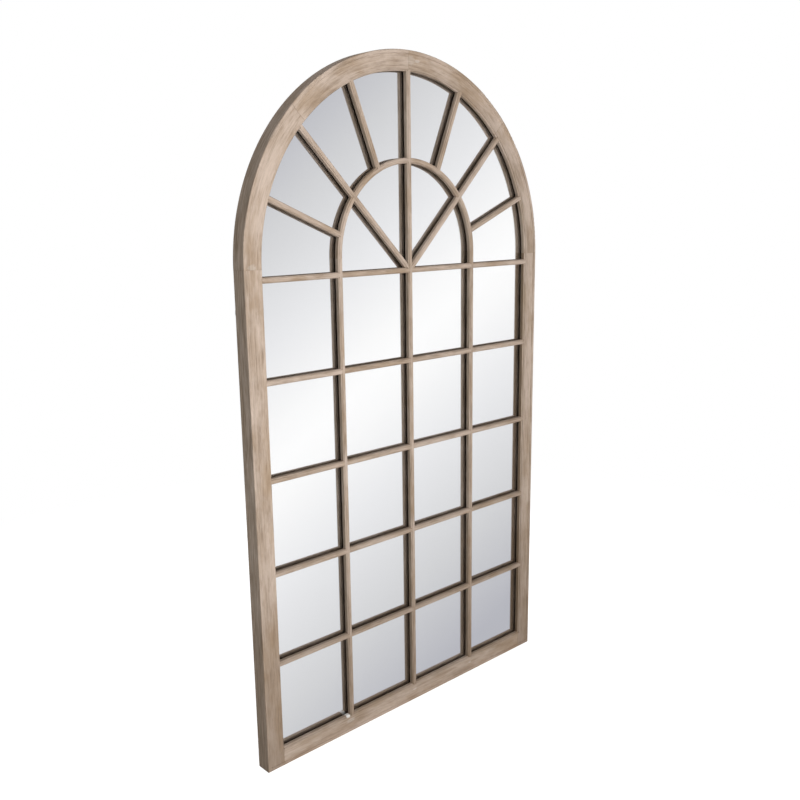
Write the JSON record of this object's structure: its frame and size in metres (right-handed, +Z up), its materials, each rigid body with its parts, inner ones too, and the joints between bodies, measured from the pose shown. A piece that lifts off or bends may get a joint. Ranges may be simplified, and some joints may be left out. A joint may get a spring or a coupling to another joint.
{
  "type": "arched window mirror",
  "caption": "Tall arched mirror in a moulded timber frame, divided like a fanlight window by glazing bars into square panes and radiating panes, with ring hangers on its back.",
  "frame": {"origin": "middle of the foot of the frame, at mid depth of the frame", "axes": "+Z up; the front of the mirror faces -Y and its back +Y; +X to the right as seen from the front"},
  "size_m": [1.04, 0.0506, 1.79],
  "materials": {
    "washed_wood": "limewashed, matt",
    "mirror": "silvered glass",
    "backing_board": "bare fibreboard",
    "plated_steel": "zinc plated",
    "zinc_screws": "zinc plated",
    "beech": "bare"
  },
  "bodies": {
    "frame": {"arc_lower_left": "washed_wood", "arc_lower_right": "washed_wood", "arc_upper_left": "washed_wood", "arc_upper_right": "washed_wood", "arch_lower_left": "washed_wood", "arch_lower_right": "washed_wood", "arch_upper_left": "washed_wood", "arch_upper_right": "washed_wood", "back_board": "backing_board", "board_screws": "zinc_screws", "bottom_rail": "washed_wood", "centre_bar": "washed_wood", "cross_bar_1_1": "washed_wood", "cross_bar_1_2": "washed_wood", "cross_bar_1_3": "washed_wood", "cross_bar_1_4": "washed_wood", "cross_bar_2_1": "washed_wood", "cross_bar_2_2": "washed_wood", "cross_bar_2_3": "washed_wood", "cross_bar_2_4": "washed_wood", "cross_bar_3_1": "washed_wood", "cross_bar_3_2": "washed_wood", "cross_bar_3_3": "washed_wood", "cross_bar_3_4": "washed_wood", "cross_bar_4_1": "washed_wood", "cross_bar_4_2": "washed_wood", "cross_bar_4_3": "washed_wood", "cross_bar_4_4": "washed_wood", "cross_bar_5_1": "washed_wood", "cross_bar_5_2": "washed_wood", "cross_bar_5_3": "washed_wood", "cross_bar_5_4": "washed_wood", "frame_dowels": "beech", "hanger_screws": "zinc_screws", "left_bar": "washed_wood", "left_diagonal": "washed_wood", "left_hanger": "plated_steel", "left_stile": "washed_wood", "mirror_glass": "mirror", "ray_high_left": "washed_wood", "ray_high_right": "washed_wood", "ray_low_left": "washed_wood", "ray_low_right": "washed_wood", "right_bar": "washed_wood", "right_diagonal": "washed_wood", "right_hanger": "plated_steel", "right_stile": "washed_wood"},
    "left_ring": {"left_ring": "plated_steel"},
    "right_ring": {"right_ring": "plated_steel"}
  },
  "joints": [
    {"name": "left_ring_hinge", "type": "hinge", "parent": "frame", "child": "left_ring", "pos_m": [-0.505, 0.0253, 1.18], "axis": [1, 0, 0], "range_deg": [0, 176]},
    {"name": "right_ring_hinge", "type": "hinge", "parent": "frame", "child": "right_ring", "pos_m": [0.505, 0.0253, 1.18], "axis": [1, 0, 0], "range_deg": [0, 176]}
  ]
}
